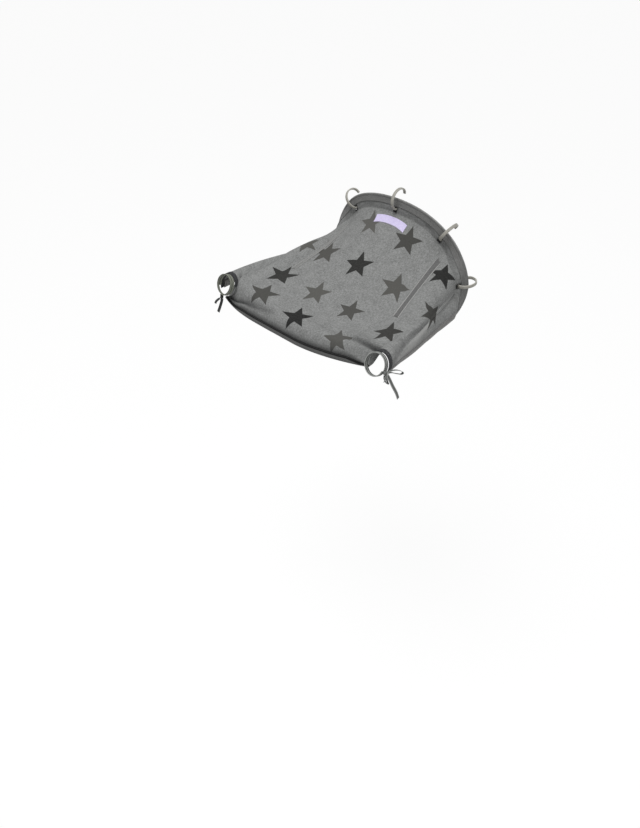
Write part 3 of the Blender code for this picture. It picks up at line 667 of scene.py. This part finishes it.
def bandFinish(name, pale, deep, lines=(), stitch=None, rib=None, edge=None, beadHighlight=None):
    # plain or ribbed tape with rows of stitches; edge and the bead's painted highlight are middle, half width
    # and colour
    finish = Finish(name, sheen=0.1)
    place, x, y, _ = finish.place("flat")
    colour = melange(finish, place, linear(*pale), linear(*deep))
    if rib:
        height = ribbed(x, rib) * 0.5 + 0.5
        colour = finish.mix(height * 0.35, colour, linear(*deep))
    else:
        height = weave(x, y)
    if lines:
        mask = stitches(x, y, lines)
        colour = finish.mix(mask, colour, linear(*stitch))
        height = height * 0.4 + mask * 1.5
    if beadHighlight:
        # a painted highlight along the rim's rounded bead
        middle, half, tone = beadHighlight
        colour = finish.mix(abs(y - middle).fade(half, half * 0.4) * 0.8, colour, linear(*tone))
    # a border on the casings; on the ties, a painted highlight on the right tape's edges and painted shadow
    # on the left tape's
    if edge:
        middle, half, tone = edge
        colour = finish.mix(abs(y - middle).fade(half - 0.0005, half + 0.0003) * 0.8, colour, linear(*tone))
    finish.put("Base Color", colour)
    finish.bump(height, 0.0003, 0.8)
    return finish


# The front hem from its top: painted shadow in its crease, then its ribbed strip
hemStrip = {"crease": 0.0062, "creaseFade": 0.0012, "dark": linear(8, 8, 9), "strip": linear(108, 108, 107),
            "between": linear(48, 48, 49), "rib": 0.0016, "ribAcross": 0.0031, "inner": 0.014}


def hemFinish():
    finish = Finish("ribbed front hem", sheen=0.1)
    place, x, y, _ = finish.place("flat")
    fade = hemStrip["creaseFade"]
    wavy = y + (finish.noise(place, 40, 2) - 0.5) * fade
    # painted shadow in the crease along the hem's top
    crease = wavy.fade(hemStrip["crease"] + fade, hemStrip["crease"] - fade)
    ribs = ribbed(x, hemStrip["rib"]) * ribbed(y, hemStrip["ribAcross"]) * 0.5 + 0.5
    flecks = finish.noise(place, 500, 2, 0.6)
    colour = finish.mix(ribs * 0.45 + flecks.fade(0.35, 0.75) * 0.25, hemStrip["strip"], hemStrip["between"])
    finish.put("Base Color", finish.mix(crease, colour, hemStrip["dark"]))
    finish.bump(ribs + flecks, 0.0004, 0.8)
    return finish


plastic = {"roughness": 0.4, "grain": 0.14, "deep": linear(150, 148, 141), "pale": linear(168, 166, 158),
           "edge": linear(198, 196, 188), "edgeFrom": (0.0024, 0.0034)}


def plasticFinish():
    finish = Finish("grey moulded plastic", roughness=0.48)
    place, x, y, _ = finish.place("flat")
    grain = finish.noise(place, 900, 3)
    soft = finish.noise(place, 120, 2)
    colour = finish.mix(soft.fade(0.35, 0.7), plastic["deep"], plastic["pale"])
    edge = abs(y).fade(*plastic["edgeFrom"])
    finish.put("Base Color", finish.mix(edge * 0.5, colour, plastic["edge"]))
    finish.put("Roughness", soft * plastic["grain"] + plastic["roughness"])
    finish.bump(grain, 0.00008, 0.5)
    return finish


finishes = {
    "printed": clothFinish("printed grey cloth", True),
    "inside": clothFinish("grey cloth inside", False),
    # the lighter line along its bead is a painted highlight
    "rim": bandFinish("rim binding", (122, 122, 121), (102, 102, 101), (0.0016, 0.0106), (136, 136, 134),
                      beadHighlight=(0.0197, 0.0026, (164, 164, 162))),
    "side": bandFinish("side binding", (146, 145, 143), (116, 115, 114), (0.002, 0.0078), (58, 58, 58)),
    "hem": bandFinish("hem ribbon", (66, 67, 69), (40, 41, 43), rib=0.0011),
    "frontHem": hemFinish(),
    # its light edges are a painted highlight
    "tape": bandFinish("tie tape", (112, 114, 112), (88, 90, 88), rib=0.001,
                       edge=(0, 0.0018, (172, 174, 171))),
    # its dark edges are painted shadow
    "leftTape": bandFinish("left tie tape", (150, 153, 141), (120, 123, 112), rib=0.001,
                           edge=(0, 0.0026, (52, 54, 50))),
    # the left knot and tails: the tie tape in painted shade
    "shadedTape": bandFinish("shaded tie tape", (74, 75, 74), (52, 53, 53), rib=0.001),
    # the pocket tape is near black as painted shade, so that each claw's slot above it reads dark
    "pocket": bandFinish("pocket tape in painted shade", (36, 36, 38), (24, 24, 25), rib=0.001),
    "label": bandFinish("woven label", (220, 212, 242), (204, 194, 232), (0.0012,), (232, 228, 244)),
    "plastic": plasticFinish(),
}
print("the finishes are made")


# The printed cloth: where each star is, its turn in degrees, its size and how pale its ink is

stars = [
    (-0.133, 0.846, 11.6, 1, 0.8), (0.184, 0.825, 14.2, 1.07, 0.4), (-0.011, 0.569, 16.8, 1.11, 0.09),
    (0.64, 0.877, -33.1, 1.02, 0.04), (0.378, 0.556, 20.6, 1.12, 0.65), (0.212, 0.322, 8.9, 0.98, 0.52),
    (0.649, 0.298, 20.7, 1.01, 0.22), (0.394, 0.081, 22.3, 1.06, 0.66), (-0.052, 0.123, 27, 1.12, 0),
    (-0.129, 0.336, 15.3, 1.08, 0.72), (-0.428, 0.14, 18.6, 1.19, 0.48), (-0.546, 0.337, -5.7, 1.13, 0.13),
    (-0.43, 0.585, 8.4, 1.15, 0.56), (-0.686, 0.66, 40.2, 1.01, 0.7), (0.795, 0.594, -44.1, 0.94, 0.35),
]


def starPlaces():
    # every point's place on each star in metres, and that star's tone
    found = []
    for u, v, turn, size, tone in stars:
        step = 0.01
        around = [(u + a, v + b) for a, b in ((step, 0), (-step, 0), (0, step), (0, -step))]
        at, flat = ([net.read(table, *place) for place in around] for table in (net.points, net.flat))
        across, up = (at[0] - at[1]) / (2 * step), (at[2] - at[3]) / (2 * step)
        first = unit(across)
        second = np.cross(unit(np.cross(across, up)), first)
        real = np.array([[across @ first, up @ first], [across @ second, up @ second]])
        drawn = np.stack([(flat[0] - flat[1])[:2], (flat[2] - flat[3])[:2]], axis=1) / (2 * step)
        angle = radians(turn)
        spin = np.array([[cos(angle), sin(angle)], [-sin(angle), cos(angle)]])
        change = spin @ real @ np.linalg.inv(drawn) / size
        offset = net.flat[..., :2] - net.read(net.flat, u, v)[:2]
        found.append(triple(*(offset @ change.T).transpose(2, 0, 1), tone))
    return np.array(found)


def makeCloth():
    rows, columns = net.points.shape[:2]
    u, v = (net.u[:-1] + net.u[1:]) / 2, (net.v[:-1] + net.v[1:]) / 2
    keep = np.ones((rows - 1, columns - 1), bool)
    inRows = (v > net.slotRows[0]) & (v < net.slotRows[1])
    for low, high in net.slots:
        keep &= ~(inRows[:, None] & ((u > low) & (u < high))[None, :])
    faces = gridFaces(rows, columns, keep)
    places = starPlaces().reshape(len(stars), -1, 3)
    centre = places[:, faces].mean(2)
    nearest = np.argmin(np.hypot(centre[..., 0], centre[..., 1]), axis=0)
    corners = places[nearest[:, None], faces]
    grid = net.u[None, :], net.v[:, None]
    # painted shade and the right ridge's painted light are kept in the cloth's shade attribute
    made = addMesh("printedCloth", net.points, faces, [finishes["printed"], finishes["inside"]],
                   [("flat", "POINT", net.flat), ("star", "CORNER", corners),
                    ("shade", "POINT", triple(shadeAt(*grid), strokesAt(ridgeLights, *grid), 0))])
    skin = made.modifiers.new("thickness", "SOLIDIFY")
    skin.thickness, skin.offset, skin.material_offset = cloth["thickness"], 0, 1
    return standsFor(made, "main_panel")


# Bands and hems

# Casings: node, u at both edges at the front end and at the back end, rows, and pale, deep and border colours
casings = {
    "casingBandLeft": (
        "slot_band_left", ((-0.575, -0.535), (-0.545, -0.505)), (0.42, 0.9),
        (142, 143, 141), (118, 118, 117), (152, 152, 150)),
    # its darker pale and deep tones are painted shade; the left band is the same cloth
    "casingBandRight": (
        "slot_band_right", ((0.572, 0.632), (0.496, 0.56)), (0.415, 0.905),
        (110, 110, 109), (94, 94, 94), (174, 174, 172)),
}
labelPlace = {"across": (-0.117, 0.115), "along": (0.857, 0.931), "bend": 0.02}
sewn = {"lift": 0.0012, "patchLift": 0.001, "cloth": 0.0008, "patch": 0.0007, "borderWidth": 0.0021,
        "bandWidth": 0.018, "bandBead": 0.007, "beadTurn": 135, "rodRadius": 0.0015, "rodPlay": 0.0005}
# Hems: how far they reach, and the front hem's crease and raised strip as place, width and height
hems = {"front": 0.715, "corner": 0.805, "cornerInner": 0.028, "sideFrom": 0.03, "sideGap": 0.02,
        "sideInner": 0.965, "shoulder": 0.0004, "density": 260,
        "forms": ((0.18, 0.1, -0.0012), (0.7, 0.2, 0.0008))}


def makeRim():
    u = np.linspace(-1, 1, 361)
    radius = sewn["rodRadius"] + sewn["rodPlay"] + sewn["cloth"] / 2
    inset = radius + sewn["cloth"] / 2
    insets = np.linspace(sewn["bandWidth"], sewn["bandBead"], 6)
    top, under = ([net.at(u, rowAt(a), lift) for a in insets] for lift in (sewn["lift"], -sewn["lift"]))
    bead = [flangePoint(u, inset - radius * cos(a), radius * sin(a))
            for a in np.radians(np.linspace(sewn["beadTurn"], -sewn["beadTurn"], 15))]
    rows = np.array(top + bead + under[::-1])
    return addStrip("rimBinding", rows, sewn["cloth"], finishes["rim"], "rim_band")


def makeHem(name, node, edge, inner, finish, slot, profile=((0.33, 0), (0.66, 0))):
    # cloth folded round an edge, up to an inner line of places
    points, within = net.at(*edge), net.at(*inner)
    edgeUp, innerUp = (unit(net.read(net.normals, *line)) for line in (edge, inner))
    out = unit(points - within)
    lift = sewn["lift"]
    shoulder = points + hems["shoulder"] * out
    rows = [within + lift * innerUp]
    for t, extra in profile:
        rows.append(within * (1 - t) + shoulder * t
                    + (lift + extra) * unit(innerUp * (1 - t) + edgeUp * t))
    for angle in np.radians(np.linspace(90, -90, 9)):
        rows.append(shoulder + lift * (cos(angle) * out + sin(angle) * edgeUp))
    for t in (0.66, 0.33):
        rows.append(within * (1 - t) + shoulder * t - lift * unit(innerUp * (1 - t) + edgeUp * t))
    rows.append(within - lift * innerUp)
    return addStrip(name, np.array(rows), sewn["cloth"], finish, node)


def makeHems():
    profile = [(t, sum(height * exp(-((t - place) / width) ** 2) for place, width, height in
                       hems["forms"])) for t in np.linspace(0.06, 0.96, 20)]
    ribbon = hems["cornerInner"], "hem"
    for name, node, low, high, inner, finish, *shape in (
            ("frontHem", "front_hem", -hems["front"], hems["front"], hemStrip["inner"], "frontHem", profile),
            ("cornerHemLeft", "corner_hem_left", -1, -hems["corner"], *ribbon),
            ("cornerHemRight", "corner_hem_right", hems["corner"], 1, *ribbon)):
        u = np.linspace(low, high, int(hems["density"] * (high - low)))
        yield makeHem(name, node, (u, 0), (u, inner), finishes[finish], "hem_ribbon", *shape)
    v = np.linspace(hems["sideFrom"], rowAt(sewn["bandWidth"]) - hems["sideGap"], 120)
    for name, node, side in (("sideHemLeft", "side_hem_left", -1), ("sideHemRight", "side_hem_right", 1)):
        yield makeHem(name, node, (side, v), (side * hems["sideInner"], v), finishes["side"], "band_cloth")


def makeCasing(name):
    node, ends, rows, pale, deep, border = casings[name]
    v = np.linspace(*rows, 90)
    first, last = (np.linspace(*end, 12)[::-1, None] for end in ends)
    t = np.linspace(0, 1, 90)
    points = net.at(first * (1 - t) + last * t, v[None, :], sewn["patchLift"])
    half = lengthAlong(points)[-1].mean() / 2
    finish = bandFinish(name + " cloth", pale, deep, edge=(half, half - sewn["borderWidth"], border))
    return addStrip(name, points, sewn["patch"], finish, node)


def makeLabel():
    # it follows the arch: its ends lie nearer the front than its middle
    u, v = np.linspace(*labelPlace["across"], 60), np.linspace(*labelPlace["along"], 14)
    bend = labelPlace["bend"] * (1 - ((u - u.mean()) / (u[-1] - u.mean())) ** 2)
    points = net.at(u[None, :], v[:, None] + bend, sewn["patchLift"])
    return addStrip("label", points, sewn["patch"], finishes["label"], "label")


# Claws: hooks of flat moulded strap, each on its hinge bar

# The strap's arcs are radius, turn and steps, and its nose narrows over its last part
hook = {"width": 0.0068, "thickness": 0.0032, "stem": 0.004, "barRadius": 0.0022, "barLength": 0.0145,
        "arcs": ((0.006, 38, 10), (0.0235, 165, 40), (0.014, 70, 18)),
        "nose": 0.0034, "noseBlunt": 0.0016, "noseLeast": 0.08,
        "barEnds": (0.7, 0.95, 1, 1, 1, 1, 1, 0.95, 0.7)}


def hookPath():
    # the strap's middle line in the plane across its hinge: out, then towards the front
    angle = 90.0
    path = [np.array([0, stem]) for stem in (0, hook["stem"] / 2, hook["stem"])]
    for radius, turn, steps in hook["arcs"]:
        start = radians(angle - 90)
        centre = path[-1] + radius * np.array([cos(start), sin(start)])
        for step in range(1, steps + 1):
            now = radians(angle - turn * step / steps + 90)
            path.append(centre + radius * np.array([cos(now), sin(now)]))
        angle -= turn
    return np.array(path)


def makeClaws():
    path = hookPath()
    travelled = lengthAlong(path)
    left = np.maximum(travelled[-1] + hook["noseBlunt"] - travelled, 0)
    nose = np.sqrt(np.clip(1 - (1 - np.minimum(left / hook["nose"], 1)) ** 2, hook["noseLeast"], 1))
    for number, (place, out, ahead) in enumerate(claws["places"], 1):
        axis = np.cross(out, ahead)
        line = place + path[:, :1] * out + path[:, 1:] * ahead
        strap = sweptPart(line, axis, hook["width"] * nose, hook["thickness"] * nose, 24, 4.5)
        bar = np.linspace(-0.5, 0.5, 9)[:, None] * hook["barLength"] * axis + place
        pin = sweptPart(bar, out, *[2 * hook["barRadius"] * np.array(hook["barEnds"])] * 2, 20, 2)
        node = f"claw_{number}"
        yield addSwept(f"claw{number}", [strap, pin], finishes["plastic"], node, node)


pocket = {"cloth": 0.0007, "width": 0.0135, "inboard": 0.009, "clear": 0.00576, "lift": 0.00115,
          "play": 0.0003, "holdFrom": 0.0006, "turns": (200, 340)}


def makePockets():
    # tape under the flange, sewn on both sides of each claw's bar and looped round it
    radius = hook["barRadius"] + pocket["play"] + pocket["cloth"] / 2
    outboard = claws["inset"] - sewn["bandWidth"] - pocket["play"]
    sewnReach = np.linspace(pocket["inboard"], pocket["clear"], 4)
    heldReach = -np.linspace(radius + pocket["holdFrom"], outboard, 3)
    for number, (u, (place, out, ahead)) in enumerate(zip(claws["across"], claws["places"]), 1):
        axis = unit(np.cross(out, ahead))
        metres = np.linalg.norm(rimPoint(u + 0.01) - rimPoint(u - 0.01)) / 0.02
        flatOut = unit(net.at(u, rowAt(sewn["bandWidth"])) - net.at(u, 1))
        flatOut = unit(flatOut - (flatOut @ axis) * axis)
        flatAhead = np.cross(axis, flatOut)
        lines = []
        for shift in np.linspace(-0.5, 0.5, 9):
            station = shift * pocket["width"]
            sewnPart, held = ([net.at(u + station / metres, rowAt(claws["inset"] + a), -pocket["lift"])
                               for a in reach] for reach in (sewnReach, heldReach))
            loop = [place + radius * (cos(a) * flatOut + sin(a) * flatAhead) + station * axis
                    for a in np.radians(np.linspace(*pocket["turns"], 11))]
            lines.append(sewnPart + loop + held)
        yield addStrip(f"clawPocket{number}", np.array(lines), pocket["cloth"], finishes["pocket"],
                       f"claw_pocket_{number}")


# Ties: tape wound twice round each side of the handle, knotted, with loose tails

ties = {"turns": 2, "tape": 0.0022, "gap": 0.0003, "space": 0.0004, "sewnAngle": -20,
        "tailTape": 0.0009, "wrapEnd": 0.0116,
        "left": {"width": 0.0064, "knotAngle": -90}, "right": {"width": 0.0052, "knotAngle": -14},
        "knotSize": (0.009, 0.0085, 0.0075), "knotTape": (0.0034, 0.003)}
# Tails and loops in millimetres: node, the side of the knot that they leave, width, direction across the
# tape, shift and path
ribbons = {
    "leftTailShort": (
        "left_tail_short", "below", 7, (1, 0, 0), (-0.5, -4.5, 2),
        (0, 0, 0), (-1.5, -4, -1.5), (-3, -9, -5), (-3.5, -12, -9.5)),
    "leftTailLong": (
        "left_tail_long", "below", 7, (1, 0.3, 0), (0, 0, 0),
        (0, 1, 0), (-1, -1, -9), (-2.5, -5, -20), (-5, -9.5, -33)),
    "rightLoopUpper": (
        "right_loop_upper", "behind", 5.2, (1, 0, 0), (0, 0, 0), (0, 0, 0.5), (4.5, 12, 1), (5.5, 28, -6),
        (5, 43, -18), (4.5, 39, -21), (4, 24, -12.5), (3, 10, -4), (0, 1.2, -2)),
    "rightLoopLower": (
        "right_loop_lower", "below", 5.2, (1, 0, 0), (0, 0, 0), (0, -1, 0), (1, -2, -8), (2, 4, -20),
        (1, 9, -23.5), (0, 8.5, -19), (0, 5, -10), (0, 1.2, -1.5)),
    "rightTailLong": (
        "right_tail_long", "outside", 7, (0, 1, 0.4), (0, 0, 0),
        (0, 0, -1), (3.5, 4, -12), (4, 14, -32), (4.5, 26, -54), (3.5, 35, -73)),
    "rightTailShort": (
        "right_tail_short", "outside", 5.2, (0, 1, 1), (-0.5, -1, 1.2),
        (0, 0, 0), (3, -3, 0.5), (4.5, -8, -4), (4, -12, -11)),
}


def makeWinding(name, side):
    tie = ties[name]
    width = tie["width"]
    pitch = width + ties["space"]
    radius = handle["radius"] + ties["gap"] + ties["tape"] / 2
    start = ties["wrapEnd"] - ties["gap"] - width / 2
    turns = ties["turns"] + (tie["knotAngle"] - ties["sewnAngle"]) / 360
    t = np.linspace(0, 1, int(turns * 72))
    line = handlePoint(ties["sewnAngle"] + 360 * turns * t, radius, start - pitch * turns * t, side)
    tilt = radians(handle["tilt"])
    part = sweptPart(line, (0, cos(tilt), -sin(tilt)), width, ties["tape"], 20, 3)
    made = addSwept(name + "Tie", [part], finishes["leftTape" if side < 0 else "tape"], name + "_tie")
    return made, radius + ties["tape"] / 2 + ties["gap"], start - pitch * (turns - 0.5)


def makeKnot(name, centre, turned):
    # an overhand knot of thick tape, drawn tight
    width, thickness = ties["knotTape"]
    t = np.linspace(0, 2 * np.pi, 97)[:-1]
    curve = triple(np.sin(t) + 2 * np.sin(2 * t), np.cos(t) - 2 * np.cos(2 * t), -np.sin(3 * t))
    curve = curve / np.array([3, 3, 1]) * ((np.array(ties["knotSize"]) - width) / 2)
    if turned:
        curve = curve[:, [2, 1, 0]]
    line = np.concatenate([curve, curve[:1]]) + centre
    part = sweptPart(line, unit(line - centre + 1e-6)[:, [1, 2, 0]], width, thickness, 14, 2.4)
    return addSwept(name + "Knot", [part], finishes["tape" if turned else "shadedTape"], name + "_knot")


def makeRibbon(name, knot):
    node, side, width, across, shift, *path = ribbons[name]
    reach = {"below": (0, 0, -1), "behind": (0, 1, 0), "outside": (1, 0, 0)}[side]
    start = knot + np.array(reach) * (np.array(ties["knotSize"]) / 2 + ties["gap"] + ties["tailTape"] / 2)
    line = smoothPath(start + np.array(shift) / 1000 + np.array(path) / 1000)
    part = sweptPart(line, across, width / 1000, ties["tailTape"], 16, 5)
    return addSwept(name, [part], finishes["shadedTape" if "left" in node else "tape"], node)


def makeTies():
    for name, side, turned in (("left", -1, False), ("right", 1, True)):
        winding, reach, middle = makeWinding(name, side)
        reach += ties["knotSize"][0 if turned else 2] / 2 + ties["gap"]
        centre = handlePoint(ties[name]["knotAngle"], reach, middle, side)
        tails = (makeRibbon(piece, centre) for piece in ribbons if piece.startswith(name))
        yield from (winding, makeKnot(name, centre, turned), *tails)


# The whole scene

def addStudio():
    addCamera()
    addSoftLamp("key")
    addSoftLamp("fill")
    world = bpy.data.worlds.new("studio")
    world.use_nodes = True
    sky = world.node_tree.nodes["Background"].inputs
    sky["Strength"].default_value, sky["Color"].default_value = light["sky"], (1, 1, 1, 1)
    bpy.context.scene.world = world
    bpy.context.scene.view_settings.view_transform = "Standard"


def addFloor():
    # it looks white to the camera and still takes a soft shadow
    finish = Finish("pale floor")
    finish.put("Base Color", ground["colour"])
    rays = finish.node("ShaderNodeLightPath").socket.node
    camera, glossy, through = (Wire(finish, rays.outputs[kind]) for kind in
                               ("Is Camera Ray", "Is Glossy Ray", "Is Transmission Ray"))
    seen = camera + glossy + through
    white = finish.node("ShaderNodeEmission", inputs={"Color": (1, 1, 1, 1), "Strength": ground["glow"]})
    plain = Wire(finish, finish.shader.outputs[0])
    both = finish.node("ShaderNodeMixShader", inputs={0: seen.maths("MINIMUM", 1) * ground["white"],
                                                      1: plain, 2: white})
    finish.tree.links.new(both.socket, finish.tree.nodes["Material Output"].inputs["Surface"])
    size = ground["radius"]
    corners = [(x * size, y * size, ground["height"]) for x, y in ((-1, -1), (1, -1), (1, 1), (-1, 1))]
    addMesh("floor", corners, [(0, 1, 2, 3)], [finish], smooth=False)


addStudio()
addFloor()
print("the studio is set")

printedCloth = makeCloth()
onCloth = [makeRim(), *makeHems(), *map(makeCasing, casings), makeLabel()]
print("the cloth and its sewn pieces are made")
clawPieces = [*makeClaws()]
onCloth += makePockets()
onCloth += makeTies()
print("the claws and ties are made")
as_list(onCloth)

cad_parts["rim_rod"].material_slots[0].material = finishes["plastic"].material

print("every piece is made")
